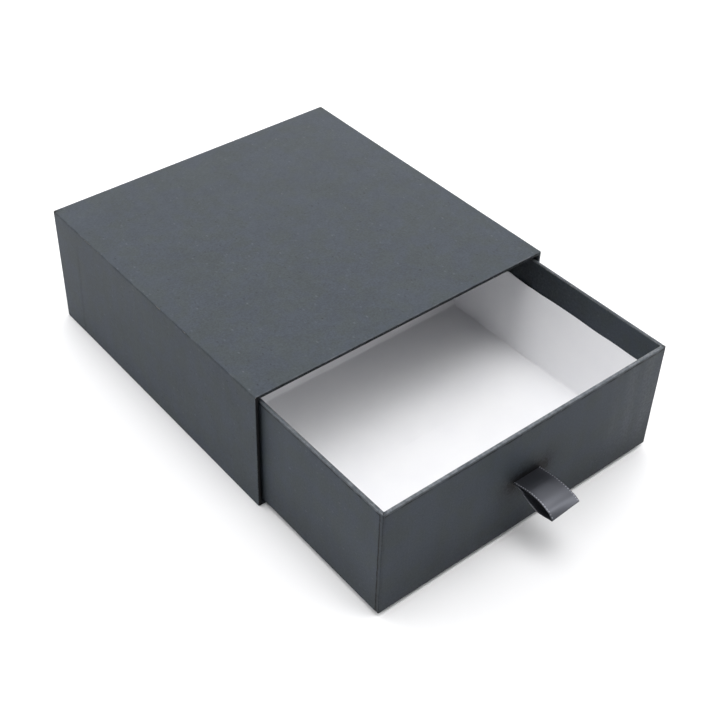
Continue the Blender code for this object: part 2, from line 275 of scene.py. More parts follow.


# Dyed cover paper, uncoated and felt-marked: a fine uneven grain, cloudy dye, sparse pale and dark fibres
# and a dry low sheen; it is paler where it is rubbed and where light is painted on, and near-black along
# creases and joints and where shade is painted
def makeSlatePaper():
    look = slatePaper
    material, tree = newMaterial("uncoatedDyedCoverPaper")
    place = addNode(tree, "TexCoord", output="Object")
    drawn = addNode(tree, "Mapping", {"Vector": place, "Scale": look["streakStretch"]})
    pattern = {}
    for name, (size, detail, roughness) in look["patterns"].items():
        vector = drawn if name == "streak" else place
        pattern[name] = addNode(tree, "TexNoise", {"Vector": vector, "Scale": 1 / size, "Detail": detail,
                                                   "Roughness": roughness})
    dye = addNode(tree, "MapRange", {"Value": pattern["dye"], **look["dyeRange"]})
    base = addNode(tree, "Mix", {0: dye, 6: look["colour"], 7: look["tinge"]}, output=2, data_type="RGBA")
    tone = 1.0
    for name, change in look["tones"].items():
        part = addNode(tree, "MapRange", {"Value": pattern[name], **change})
        tone = addNode(tree, "Math", {0: tone, 1: part}, operation="MULTIPLY")
    base = addNode(tree, "VectorMath", {0: base, "Scale": tone}, operation="SCALE")
    # one fibre in some of the cells: the cell's own random value says whether it is pale or dark
    lengthwise = addNode(tree, "Mapping", {"Vector": place, "Scale": look["speckStretch"]})
    cells = addNode(tree, "TexVoronoi", {"Vector": lengthwise, "Scale": 1 / look["speck"]}, output=None)
    near = addNode(tree, "MapRange", {"Value": cells.outputs["Distance"], **look["speckEdge"]})
    for colour, chance in look["specks"].items():
        chosen = addNode(tree, "MapRange", {"Value": cells.outputs["Color"], **chance})
        speck = addNode(tree, "Math", {0: chosen, 1: near}, operation="MULTIPLY")
        base = addNode(tree, "Mix", {0: speck, 6: base, 7: look[colour]}, output=2, data_type="RGBA")
    # wear and painted light mix in the paler colour; creases, joints and painted shade mix in the near-black
    # one
    for attribute, (colour, patches) in look["marks"].items():
        marked = addNode(tree, "Attribute", output="Fac", attribute_name=attribute)
        patchy = addNode(tree, "MapRange", {"Value": pattern["scuff"], **patches})
        marked = addNode(tree, "Math", {0: marked, 1: patchy}, operation="MULTIPLY", use_clamp=True)
        base = addNode(tree, "Mix", {0: marked, 6: base, 7: look[colour]}, output=2, data_type="RGBA")
    height = addNode(tree, "Math", {0: pattern["scuff"], 1: look["scuffRelief"], 2: pattern["grain"]},
                     operation="MULTIPLY_ADD")
    return finishMaterial(material, look, base, height)


whitePaper = {
    "colour": "#F1F1F2", "shaded": "#EAEAED", "fibre": 1.1 * mm, "fibreDetail": 3, "cloud": 14 * mm,
    "cloudDetail": 4, "bump": {"Strength": 0.12, "Distance": 0.03 * mm},
    "shader": {"Roughness": 0.75, "IOR": 1.5, "Specular IOR Level": 0.35}}


# White offset lining paper, smooth and unprinted: faint clouds of fibre seen through the sheet
def makeWhitePaper():
    look = whitePaper
    material, tree = newMaterial("whiteOffsetLiningPaper")
    place = addNode(tree, "TexCoord", output="Object")
    cloud, fibre = (addNode(tree, "TexNoise", {"Vector": place, "Scale": 1 / look[name],
                                               "Detail": look[name + "Detail"]})
                    for name in ("cloud", "fibre"))
    base = addNode(tree, "Mix", {0: cloud, 6: look["colour"], 7: look["shaded"]},
                   output=2, data_type="RGBA")
    return finishMaterial(material, look, base, fibre)


greyboard = {
    "pale": "#9A968D", "dark": "#7C7870", "fleck": "#55524C", "fibre": 1.4 * mm, "fibreDetail": 5,
    "fibreRoughness": 0.7, "fleckRange": {"From Min": 0.64, "From Max": 0.7},
    "bump": {"Strength": 0.3, "Distance": 0.05 * mm},
    "shader": {"Roughness": 0.92, "Specular IOR Level": 0.2}}


# Recycled greyboard, cut and left raw: a dull warm grey with darker flecks of pulp
def makeGreyboard():
    look = greyboard
    material, tree = newMaterial("rawRecycledGreyboard")
    place = addNode(tree, "TexCoord", output="Object")
    fibre = addNode(tree, "TexNoise", {"Vector": place, "Scale": 1 / look["fibre"],
                                       "Detail": look["fibreDetail"], "Roughness": look["fibreRoughness"]})
    fleck = addNode(tree, "MapRange", {"Value": fibre, **look["fleckRange"]})
    base = addNode(tree, "Mix", {0: fibre, 6: look["pale"], 7: look["dark"]}, output=2, data_type="RGBA")
    base = addNode(tree, "Mix", {0: fleck, 6: base, 7: look["fleck"]}, output=2, data_type="RGBA")
    return finishMaterial(material, look, base, fibre)


paperTape = {
    "pale": "#CDBFA4", "dark": "#B7A688", "fibre": 0.8 * mm, "fibreDetail": 4,
    "fibreStretch": (1, 1, 0.2), "bump": {"Strength": 0.2, "Distance": 0.03 * mm},
    "shader": {"Roughness": 0.7}}


# Gummed kraft tape, brushed with water-based glue: buff paper with long fibres along its length
def makePaperTape():
    look = paperTape
    material, tree = newMaterial("gummedKraftTape")
    place = addNode(tree, "TexCoord", output="Object")
    drawn = addNode(tree, "Mapping", {"Vector": place, "Scale": look["fibreStretch"]})
    fibre = addNode(tree, "TexNoise", {"Vector": drawn, "Scale": 1 / look["fibre"],
                                       "Detail": look["fibreDetail"]})
    base = addNode(tree, "Mix", {0: fibre, 6: look["pale"], 7: look["dark"]}, output=2, data_type="RGBA")
    return finishMaterial(material, look, base, fibre)


# selvedge is the distance of the row of stitches from the ribbon's middle, edgeShares its soft edge
blackSatin = {
    "colour": "#0F1115", "thread": "#9C9EA6", "rib": 0.5 * mm, "ribRelief": 0.15, "stitch": 1.3 * mm,
    "stitchRange": {"From Min": 0.1, "From Max": 0.8}, "selvedge": 7.5 * mm,
    "stitchWidth": 0.4 * mm, "edgeShares": (0.75, 0.25),
    "bump": {"Strength": 0.25, "Distance": 0.05 * mm},
    "shader": {"Roughness": 0.45, "IOR": 1.72, "Specular IOR Level": 1.0,
               "Specular Tint": "#E4E7F4"}}


# Polyester satin ribbon: long floats along it give a soft bright sheen, and the selvedge shows its turns
# of weft as pale dots 1.3 mm apart; the floats are really 0.15 mm apart and are drawn at 0.5 mm to show
def makeBlackSatin():
    look = blackSatin
    material, tree = newMaterial("wovenPolyesterSatin")
    across, along, shown = (addNode(tree, "Attribute", output="Fac", attribute_name=attribute)
                            for attribute in ("across", "along", "stitches"))
    ribs, turns = (addNode(tree, "Math", {0: way, 1: 2 * math.pi / spacing}, operation="MULTIPLY")
                   for way, spacing in ((across, look["rib"]), (along, look["stitch"])))
    ribs, turns = (addNode(tree, "Math", {0: angle}, operation="SINE") for angle in (ribs, turns))
    turns = addNode(tree, "MapRange", {"Value": turns, **look["stitchRange"]})
    edge = addNode(tree, "Math", {0: across}, operation="ABSOLUTE")
    edge = addNode(tree, "Math", {0: edge, 1: look["selvedge"]}, operation="SUBTRACT")
    edge = addNode(tree, "Math", {0: edge}, operation="ABSOLUTE")
    outer, inner = (look["stitchWidth"] * share for share in look["edgeShares"])
    edge = addNode(tree, "MapRange", {"Value": edge, "From Min": outer, "From Max": inner})
    dots = addNode(tree, "Math", {0: turns, 1: edge}, operation="MULTIPLY")
    dots = addNode(tree, "Math", {0: dots, 1: shown}, operation="MULTIPLY")
    base = addNode(tree, "Mix", {0: dots, 6: look["colour"], 7: look["thread"]}, output=2, data_type="RGBA")
    height = addNode(tree, "Math", {0: ribs, 1: look["ribRelief"], 2: dots}, operation="MULTIPLY_ADD")
    return finishMaterial(material, look, base, height)


coverPaper = makeSlatePaper()
liningPaper = makeWhitePaper()
boardMaterial = makeGreyboard()
tapeMaterial = makePaperTape()
satinMaterial = makeBlackSatin()
print("materials made")

# Boards and tape keep the CAD's shape
for name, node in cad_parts.items():
    if name.endswith("_board"):
        node.data.materials[0] = boardMaterial
    if name.startswith("corner_stay"):
        node.data.materials[0] = tapeMaterial
print("boards and tape finished")

# What is uneven is a mean and then its layers, or one layer alone: an amount, a length and a seed
sleeve = {
    "thickness": 0.12 * mm, "edgeRadius": 0.6 * mm, "insideRadius": 0.4 * mm, "rimRadius": 0.5 * mm,
    "wall": 1.85 * mm, "turnIn": 19.15 * mm, "fine": 0.15 * mm, "slack": 0.1 * mm,
    "seamFrom": 25 * mm, "seamOverlap": 15 * mm, "seamSoft": 1 * mm,
    # the step at the ends of the rear cover's flaps, with its softness on the left face and elsewhere, and
    # the painted shade along it on the left face
    "flap": 20 * mm, "flapRise": 0.06 * mm, "flapMarks": (0, -2 * mm, 2 * mm), "flapSlantShare": 0.07,
    "flapWander": (0, (0.3 * mm, 14 * mm, 9)), "leftFace": 0.4 * mm, "flapSoft": (1.6 * mm, 7 * mm),
    "ridgeBehind": 0.6 * mm, "ridgeWidth": 1 * mm, "ridgeFadeShares": (0.6, 0.95), "ridgeCrease": 0.25,
    # the fold at the top left, with painted shade in its crease
    "fold": 0.14 * mm, "foldWidth": 0.42 * mm, "foldShift": 0.35 * mm, "foldSway": 0.16 * mm,
    "foldWander": (0, (1, 16 * mm, 4), (0.7, 5 * mm, 3)),
    "foldDepth": (0.8, (0.2, 30 * mm, 5), (0.2, 6 * mm, 2)),
    "foldStart": (0.5 * mm, 5 * mm), "foldCrease": 0.5,
    "bow": 0.015 * mm, "bowWaves": (-1.6, (1, 40 * mm, 6)),
    # wear of the mouth's edge and the long edges, with a painted highlight added on the mouth's top edge
    "mouthWear": 0.15, "topWearAndHighlight": 0.65, "topBand": 3 * mm, "mouthWidth": 0.5 * mm,
    "mouthPatches": (0.6, (0.4, 5 * mm, 7)),
    "edgeWear": 0.3, "edgeWidth": 0.6 * mm, "edgePatches": (0.3, (0.7, 7 * mm, 8)),
    # painted shade on the paper over the mouth's edge: left, right and between
    "mouthDepth": 1.5 * mm, "leftShade": 2.6, "rightShade": 0.2, "rightBand": 2 * mm, "mouthShade": 0.9,
    "rearDarkCorner": 1.2, "rearDarkCornerWidth": 2 * mm, "mostCreased": 3}


# Wrap of the sleeve: a line from the back over the mouth's edge and inside, carried round a rectangle with
# round corners and moved along its normals by the sum of the seam, the flap's step, the left fold and a bow
def makeSleeveWrap():
    look = sleeve
    low, high = (np.array(corner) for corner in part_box("sleeve_wrap"))
    middle, half = (low + high) / 2, (high - low) / 2
    section = [(0, high[1]), (0, low[1]), (look["wall"], low[1]), (look["wall"], low[1] + look["turnIn"])]
    flapEnd = cadBox[1][1] - look["flap"]
    places, line, reached = alongCorners(section, [high[1] - flapEnd + mark for mark in look["flapMarks"]])
    line = roundedLine(line, places, section, reached, [look["rimRadius"]] * 2)
    width, height = half[0], half[2]
    start, end = look["seamFrom"], look["seamFrom"] - look["seamOverlap"]
    corners = [(start, -height), (-width, -height), (-width, height), (width, height), (width, -height),
               (end, -height)]
    spots, ring, turns = alongCorners(corners, [look["seamOverlap"]], look["fine"])
    radius = np.interp(line[:, 0], [0, look["wall"]], [look["edgeRadius"], look["insideRadius"]])
    x, z = ringGrid(ring, (width, height), line[:, 0], radius)
    points = np.stack([x, np.broadcast_to(line[:, 1:], x.shape), z + middle[2]], axis=-1)
    normals = -gridNormals(points, False)
    outside = (places < reached[1] + look["wall"] / 2)[:, None]
    # the seam lies under the overlap, pressed in by one thickness
    seam = ramp(spots, look["seamOverlap"] - look["seamSoft"], look["seamOverlap"] + look["seamSoft"])
    rise = -look["thickness"] * (1 - seam)[None, :]
    # the paper sinks where the rear cover's flaps end under it, and the step is soft except on the left face
    onLeft = (points[..., 0] < look["leftFace"] - width) & outside
    behind = points[..., 1] - flapEnd + look["flapSlantShare"] * (points[..., 2] - middle[2])
    behind = behind + uneven(points[..., 2:], *look["flapWander"])
    soft = np.where(onLeft, *look["flapSoft"])
    rise = rise - look["flapRise"] * (1 - ramp(behind, -soft, soft)) * outside
    # the left fold bridges the gap between its boards and is creased there
    lengthwise = points[..., 1:2]
    sway = look["foldSway"] * uneven(lengthwise, *look["foldWander"])
    fold = bell(np.abs(spots - turns[2] + look["foldShift"])[None, :] - sway, look["foldWidth"])
    fold = fold * np.clip(uneven(lengthwise, *look["foldDepth"]), 0, 1)
    fold = fold * outside * ramp(points[..., 1], *(low[1] + place for place in look["foldStart"]))
    rise = rise - look["fold"] * fold
    rise = rise + look["bow"] * uneven(points, *look["bowWaves"]) * outside
    points = points + normals * rise[..., None]
    # the edge of the mouth and the long edges are rubbed, and a highlight is painted on the mouth's top edge
    before = (places < reached[1] + look["slack"])[:, None]
    onTop = points[..., 2] > high[2] - look["topBand"]
    fromMouth = np.abs(places - reached[1])[:, None]
    fromEdge = fromNearest(spots, turns[1:5])[None, :]
    wear = (look["mouthWear"] + look["topWearAndHighlight"] * onTop) * bell(fromMouth, look["mouthWidth"])
    wear = wear * uneven(points, *look["mouthPatches"]) * before
    edgeWear = look["edgeWear"] * bell(fromEdge, look["edgeWidth"]) * uneven(points, *look["edgePatches"])
    wear = wear + edgeWear * before
    # painted shade over the edge of the mouth, darkest on the left and lightest on the right, in the crease
    # of the left fold and along the flap's step on the left face
    mouthFace = (places > reached[1] + look["slack"]) & (places < reached[2] + look["mouthDepth"])
    fromLeft = points[..., 0] + width
    shade = np.select([fromLeft < look["wall"] + look["slack"], fromLeft > 2 * width - look["rightBand"]],
                      [look["leftShade"], look["rightShade"]], look["mouthShade"])
    fade = ramp(points[..., 2], *(share * high[2] for share in look["ridgeFadeShares"]))
    ridge = bell(behind + look["ridgeBehind"], look["ridgeWidth"]) * onLeft * (1 - fade)
    creased = look["foldCrease"] * fold + look["ridgeCrease"] * ridge + mouthFace[:, None] * shade
    # the paper is darker at the four rear corners
    fromRear = np.hypot(fromEdge, high[1] - points[..., 1])
    creased = creased + look["rearDarkCorner"] * bell(fromRear, look["rearDarkCornerWidth"]) * before
    piece = makeSheet("sleeve_paper_wrap", points, "sleeve", coverPaper, look["thickness"], turned=True,
                      wear=np.clip(wear, 0, 1), crease=np.clip(creased, 0, look["mostCreased"]))
    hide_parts("sleeve_wrap")


# Tray of paper: a line from the middle of its floor over the corner and along its walls to the mouth,
# carried round a rectangle with round corners; it also says which rows lie on the walls
def trayGrid(box, axes, floorSide, inset, footRadius, cornerRadius):
    low, high = (np.array(corner) for corner in box)
    middle, half = (low + high) / 2, (high - low) / 2
    across, along = axes[:2], axes[2]
    halfSize = [half[axis] - inset for axis in across]
    far, near = (high, low) if floorSide > 0 else (low, high)
    floor = far[along] - floorSide * inset
    section = [(min(halfSize), floor), (0, floor), (0, near[along])]
    places, line, reached = alongCorners(section)
    line = roundedLine(line, places, section, reached, [footRadius])
    ring = alongRectangle(*halfSize)[1]
    grid = ringGrid(ring, halfSize, line[:, 0], np.full(len(line), cornerRadius))
    points = np.zeros((*grid[0].shape, 3))
    for axis, values in zip(across, grid):
        points[..., axis] = values + middle[axis]
    points[..., along] = line[:, 1:]
    return points, (places > reached[1])[:, None]


backCover = {
    "thickness": 0.12 * mm, "footRadius": 0.5 * mm, "cornerRadius": 0.6 * mm,
    "wear": 0.3, "wearInside": 0.1 * mm, "wearWidth": 0.6 * mm, "wearFromMiddle": 84.9 * mm,
    "wearAcross": 1 * mm, "darkCorner": 1.2, "darkCornerWidth": 2 * mm}


# Rear cover of the sleeve: a tray of paper whose floor is the back and whose walls are the flaps, rubbed
# along its two upright edges and darker at its four corners
def makeSleeveBackCover():
    look = backCover
    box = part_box("sleeve_back_cover")
    low, high = box
    points = trayGrid(box, (0, 2, 1), 1, 0, look["footRadius"], look["cornerRadius"])[0]
    x, y, z = np.moveaxis(points, -1, 0)
    rubbedAndLit = bell(y - high[1] + look["wearInside"], look["wearWidth"])
    rubbedAndLit = rubbedAndLit * bell(np.abs(x) - look["wearFromMiddle"], look["wearAcross"])
    toCorner = np.hypot(np.hypot(np.abs(x) - high[0], y - high[1]), np.minimum(z - low[2], high[2] - z))
    piece = makeSheet("sleeve_rear_paper", points, "sleeve", coverPaper, look["thickness"], closed=True,
                      wear=look["wear"] * rubbedAndLit, crease=look["darkCorner"] * bell(toCorner, look["darkCornerWidth"]))
    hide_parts("sleeve_back_cover")


sleeveLining = {"thickness": 0.12 * mm, "footRadius": 0.6 * mm, "cornerRadius": 0.5 * mm}


# Lining of the sleeve: a tray of paper with its floor at the back and its faces turned inward
def makeSleeveLining():
    look = sleeveLining
    points = trayGrid(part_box("sleeve_lining"), (0, 2, 1), 1, look["thickness"], look["footRadius"],
                      look["cornerRadius"])[0]
    piece = makeSheet("sleeve_inner_lining", points, "sleeve", coverPaper, look["thickness"], closed=True,
                      turned=True, wear=0, crease=0)
    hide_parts("sleeve_lining")


makeSleeveWrap()
makeSleeveBackCover()
makeSleeveLining()
print("sleeve made")

drawer = {
    "thickness": 0.12 * mm, "edgeRadius": 0.45 * mm, "insideRadius": 0.35 * mm, "rimRadius": 0.55 * mm,
    "footRadius": 0.5 * mm, "wall": 1.85 * mm, "turnIn": 18.65 * mm, "fine": 0.15 * mm,
    "rimMarks": (1.1 * mm, 0.6 * mm), "baseBand": 1 * mm, "sameFace": 0.001 * mm,
    "slitHalfWidth": 8.4 * mm, "slitHalfHeight": 0.45 * mm, "slitHeight": 32.35 * mm,
    # laps of the side papers over the front and back ones
    "lapTop": 2.1 * mm, "lapFoot": 1.9 * mm, "lapMarks": 4, "lapWander": (0.1 * mm, 9 * mm, 11),
    "lapStep": (-0.1 * mm, 0.1 * mm), "recessStart": (0.15 * mm, 0.6 * mm), "recess": 0.08 * mm,
    "grooveShift": 0.12 * mm, "grooveWidth": 0.25 * mm, "groove": 0.03 * mm, "stripWidth": 0.4 * mm,
    # the front and back papers beside the corners, and the corners themselves
    "drawnPlace": 0.9 * mm, "drawnWidth": 0.4 * mm, "drawnDepth": (0.6, (0.4, 12 * mm, 17)),
    "drawn": 0.03 * mm, "darkCornerWidth": 0.7 * mm, "darkCornerHeight": 0.6 * mm, "cornerWidth": 1.5 * mm,
    # the lip under the rim and the dip below it
    "lip": (1.1 * mm, (0.12 * mm, 9 * mm, 12), (0.08 * mm, 2.5 * mm, 18)),
    "lipStep": (-0.5 * mm, -0.1 * mm), "lipOver": 0.2 * mm, "lipRise": 0.15 * mm, "frontRoom": 2 * mm,
    "roomSoft": 1 * mm, "dip": 0.08 * mm, "dipWidth": 0.32 * mm, "dipDepth": (0.8, (0.9, 4 * mm, 13)),
    "dipLimits": (0.1, 1.6), "bow": (0, (0.02 * mm, 25 * mm, 14)),
    # the pull of the ribbon round the slit: its depth, and its shares and their widths
    "pull": 0.12 * mm, "pullShares": ((0.6, 3 * mm), (0.4, 9 * mm)), "frontFace": 0.2 * mm,
    "mitrePlace": 1.3 * mm, "mitreReach": 0.7 * mm, "mitreWidth": 0.5 * mm,
    # how much each mark is rubbed paler, with the painted light on the front, and how much each is darkened,
    # by creases and joints and by painted shade
    "wear": {"rimEdges": 0.25, "rimEdgeWidth": 0.5 * mm, "rimEdgePatches": (0.7, (0.3, 3.5 * mm, 15)),
             "rimFront": 0.8, "rimSides": 0.32, "rimPatches": (0.35, 2.4 * mm, 20), "rimLimits": (0.05, 1),
             "lip": 0.3, "rubbedAndLit": 0.3, "litFromShare": 0.35, "litBand": 1 * mm, "litMost": 1.5,
             "litPatches": (0.9, (0.35, 10 * mm, 19)), "litStretch": (1, 0.15),
             "footLess": 0.6, "footShares": (0.6, 1), "cornerLeft": 1.3},
    "crease": {"lapTop": 1.1, "lapFootMore": 0.6, "rimGap": 0.3 * mm, "dip": 2.2, "mitre": 1.5,
               "drawn": 0.35, "strip": 0.3, "edge": 0.4, "edgeWidth": 0.5 * mm, "edgeFadeShares": (0.1, 0.7),
               "darkCorner": 3, "pull": 2.2, "foot": 0.3, "footShares": (0.5, 1), "turnIn": 0.6,
               "turnInShares": (0.15, 1.2), "most": 2}}


# Wrap of the drawer: a line from the middle of the base out to the foot, up the wall, over the rim and down
# inside, carried round a rectangle with round corners and moved along its normals by the sum of its marks
def makeDrawerWrap():
    look, wornAndLit, darkening = drawer, drawer["wear"], drawer["crease"]
    low, high = (np.array(corner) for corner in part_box("drawer_wrap"))
    middle, half = (low + high) / 2, (high - low) / 2
    a, b = halfSize = half[:2]
    foot, rim = low[2], high[2]
    footPlace = halfSize.min()
    rimPlace = footPlace + rim - foot
    section = [(footPlace, foot), (0, foot), (0, rim), (look["wall"], rim),
               (look["wall"], rim - look["turnIn"])]
    slitPlaces = [footPlace + look["slitHeight"] - foot + side * look["slitHalfHeight"] for side in (-1, 1)]
    rowMarks = [*slitPlaces, *(rimPlace - mark for mark in look["rimMarks"])]
    places, line, reached = alongCorners(section, rowMarks)
    line = roundedLine(line, places, section, reached, [look["footRadius"], *[look["rimRadius"]] * 2])
    slitSpots = [a + side * look["slitHalfWidth"] for side in (-1, 1)]
    lapCorners = ((2 * a, 1), (2 * a + 2 * b, -1), (4 * a + 2 * b, 1), (4 * a + 4 * b, -1))
    laps = np.linspace(look["lapTop"], look["lapFoot"], look["lapMarks"])
    lapSpots = [corner + side * lap for corner, side in lapCorners for lap in laps]
    spots, ring, turns = alongRectangle(a, b, slitSpots + lapSpots, look["fine"])
    inset = line[:, 0]
    radius = np.interp(inset, [0, look["wall"]], [look["edgeRadius"], look["insideRadius"]])
    x, y = ringGrid(ring, halfSize, inset, radius)
    points = np.stack([x + middle[0], y + middle[1], np.broadcast_to(line[:, 1:], x.shape)], axis=-1)
    normals = gridNormals(points, True)
    across, along, up = np.moveaxis(points, -1, 0)
    outside = ((places > reached[1] - look["baseBand"]) & (places < reached[2] + look["wall"] / 2))[:, None]
    below = (places < reached[2])[:, None]
    cornerGap = np.hypot(a - np.abs(x), b - np.abs(y))
    share = (rim - up) / (rim - foot)
    # cut edge of the side papers, which lap over the front and back papers short of each corner
    onSide = (np.abs(ring[:, 0]) > a - look["sameFace"])[None, :] & outside
    toEnd = b - np.abs(ring[:, 1])[None, :]
    lap = look["lapTop"] + (look["lapFoot"] - look["lapTop"]) * share
    lap = uneven(points[..., 2:], lap, look["lapWander"])
    recess = (1 - ramp(toEnd - lap, *look["lapStep"])) * ramp(toEnd, *look["recessStart"]) * onSide
    groove = bell(toEnd - lap + look["grooveShift"], look["grooveWidth"]) * onSide
    # the front and back papers are drawn in a little beside each corner, and shade is painted at the foot's
    # corners
    onEnd = (np.abs(ring[:, 1]) > b - look["sameFace"])[None, :] & outside
    fromEnd = a - np.abs(ring[:, 0])[None, :]
    drawn = bell(fromEnd - look["drawnPlace"], look["drawnWidth"]) * onEnd
    drawn = drawn * uneven(points[..., 2:], *look["drawnDepth"])
    darkCorner = bell(cornerGap, look["darkCornerWidth"]) * bell(up - foot, look["darkCornerHeight"])
    # below the rim the paper dips behind the crushed lip of the board
    belowLip = rim - up - uneven(points, *look["lip"])
    crushed = (1 - ramp(belowLip, *look["lipStep"])) * outside
    crushed = crushed * (places < reached[2] + look["lipOver"])[:, None]
    dip = bell(belowLip, look["dipWidth"]) * outside * below
    dip = dip * np.clip(uneven(points, *look["dipDepth"]), *look["dipLimits"])
    rise = -look["recess"] * recess - look["groove"] * groove - look["dip"] * dip - look["drawn"] * drawn
    rise = rise + uneven(points, *look["bow"]) * outside
    # the lip itself stands out a little at the front and the left, where the sleeve leaves room
    free = np.maximum(ramp(low[1] + look["frontRoom"] - along, 0, look["roomSoft"]),
                      ramp(middle[0] - across, 0, look["roomSoft"]))
    rise = rise + look["lipRise"] * crushed * free * (1 - bell(cornerGap, look["cornerWidth"]))
    # round the slit the paper is drawn in by the ribbon
    beyond = np.maximum(np.abs(across - middle[0]) - look["slitHalfWidth"], 0)
    fromSlit = np.hypot(beyond, up - look["slitHeight"])
    pull = sum(part * bell(fromSlit, width) for part, width in look["pullShares"])
    pull = pull * (along < low[1] + look["frontFace"]) * outside
    rise = rise - look["pull"] * pull
    points = points + normals * rise[..., None]
    across, along = points[..., 0], points[..., 1]
    # mitres of the rim at its four corners, which hold their shape better
    onRim = (np.abs(places - (reached[2] + reached[3]) / 2) < look["wall"] / 2)[:, None]
    toMitre = np.abs((a - inset[:, None] - np.abs(x)) - (b - inset[:, None] - np.abs(y)))
    mitre = bell(cornerGap - look["mitrePlace"], look["mitreReach"]) * bell(toMitre, look["mitreWidth"])
    mitre = mitre * onRim
    # the rim is rubbed, and its front is handled more than its sides
    fromRim = fromNearest(places, reached[2:4])[:, None]
    wear = wornAndLit["rimEdges"] * bell(fromRim, wornAndLit["rimEdgeWidth"]) * uneven(points, *wornAndLit["rimEdgePatches"])
    atFront = along < low[1] + look["wall"] + look["frontFace"]
    rimWear = uneven(points, np.where(atFront, wornAndLit["rimFront"], wornAndLit["rimSides"]), wornAndLit["rimPatches"])
    wear = wear + onRim * np.clip(rimWear, *wornAndLit["rimLimits"]) + wornAndLit["lip"] * crushed
    # painted light on the right half of the front, in upright streaks, less towards its foot
    rubbedAndLit = ramp(across, middle[0] + wornAndLit["litFromShare"] * a, middle[0] + a)
    rubbedAndLit = rubbedAndLit * (along < low[1] + wornAndLit["litBand"])
    rubbedAndLit = rubbedAndLit * (1 - wornAndLit["footLess"] * ramp(share, *wornAndLit["footShares"]))
    litStreaks = uneven(points[..., [0, 2]] * wornAndLit["litStretch"], *wornAndLit["litPatches"])
    rubbedAndLit = rubbedAndLit * np.clip(litStreaks, 0, wornAndLit["litMost"])
    wear = wear + wornAndLit["rubbedAndLit"] * rubbedAndLit * outside
    wear = wear * np.clip(wornAndLit["cornerLeft"] - bell(cornerGap, look["cornerWidth"]), 0, 1)
    # dark marks: the laps' edges and the mitres are dark joints; painted shade lies under the lip, beside
    # and along the corners, at the foot's corners and round the slit
    upToRim = (places < reached[2] - darkening["rimGap"])[:, None]
    strip = (1 - ramp(toEnd, lap - look["stripWidth"], lap)) * onSide * below
    edge = bell(fromNearest(spots, turns)[None, :], darkening["edgeWidth"]) * outside
    edge = edge * (1 - ramp(share, *darkening["edgeFadeShares"]))
    creased = (darkening["lapTop"] + darkening["lapFootMore"] * share) * groove * upToRim
    creased = creased + darkening["dip"] * dip + darkening["mitre"] * mitre + darkening["drawn"] * drawn
    creased = creased + darkening["strip"] * strip + darkening["edge"] * edge
    creased = creased + darkening["darkCorner"] * darkCorner + darkening["pull"] * pull
    # painted shade on the foot and on the turned-in paper, most of all towards the back
    creased = creased + darkening["foot"] * ramp(share, *darkening["footShares"]) * outside
    turnedIn = (places > reached[3] - darkening["rimGap"])[:, None]
    backward = ramp(along, *(low[1] + part * b for part in darkening["turnInShares"]))
    creased = creased + darkening["turnIn"] * turnedIn * backward
    # the slit for the ribbon
    cellRow = (places[:-1] + places[1:]) / 2
    cellSpot = (spots + np.append(spots[1:], turns[-1])) / 2
    inRows = (cellRow > slitPlaces[0]) & (cellRow < slitPlaces[1])
    inSpots = (cellSpot > slitSpots[0]) & (cellSpot < slitSpots[1])
    piece = makeSheet("drawer_paper_wrap", points, "drawer", coverPaper, look["thickness"], closed=True,
                      holes=inRows[:, None] & inSpots[None, :], wear=np.clip(wear, 0, 1),
                      crease=np.clip(creased, 0, darkening["most"]))
    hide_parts("drawer_wrap")


# ripples are along the right wall, and folds are those that show: place, share of a ripple and width
liner = {
    "thickness": 0.12 * mm, "cornerRadius": 0.8 * mm, "footRadius": 0.8 * mm,
    "bow": (0, (0.04 * mm, 18 * mm, 21)), "topBand": 3 * mm, "topWander": 0.12 * mm,
    "topWaves": (22 * mm, 22), "rightBand": 1.5 * mm, "ripple": 0.55 * mm, "rippleShare": 0.4,
    "ripples": (1, (1, 11 * mm, 23)), "rippleFromShare": 0.35, "rippleBefore": 20 * mm,
    "folds": ((-84 * mm, 1.2, 3.5 * mm), (-93 * mm, 0.7, 3 * mm))}


# Lining of the drawer: a tray of paper, laid in dry at the walls, so that they are moved along their
# normals by a slow bow, and on the right by upright ripples and two folds
def makeDrawerLiner():
    look = liner
    low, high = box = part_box("drawer_liner")
    points, wall = trayGrid(box, (0, 1, 2), -1, look["thickness"], look["footRadius"], look["cornerRadius"])
    normals = gridNormals(points, True)
    top = ramp(points[..., 2], high[2] - look["topBand"], high[2])
    rise = uneven(points, *look["bow"]) * wall
    # the paper of the right wall stands in soft upright ripples towards the back
    onRight = (points[..., 0] > high[0] - look["rightBand"]) & wall
    rear = ramp(points[..., 1], low[1] + look["rippleFromShare"] * (high[1] - low[1]),
                high[1] - look["rippleBefore"])
    ripples = look["rippleShare"] * uneven(points[..., 1:2], *look["ripples"]) * rear
    for place, share, width in look["folds"]:
        ripples = ripples + share * bell(points[..., 1] - place, width)
    rise = rise - look["ripple"] * ripples * onRight
    points = points + normals * rise[..., None]
    points[..., 2] += look["topWander"] * top * waves(points[..., :2], *look["topWaves"])
    piece = makeSheet("drawer_white_lining", points, "drawer", liningPaper, look["thickness"], closed=True,
                      turned=True)
    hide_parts("drawer_liner")


makeDrawerWrap()
makeDrawerLiner()
print("drawer made")

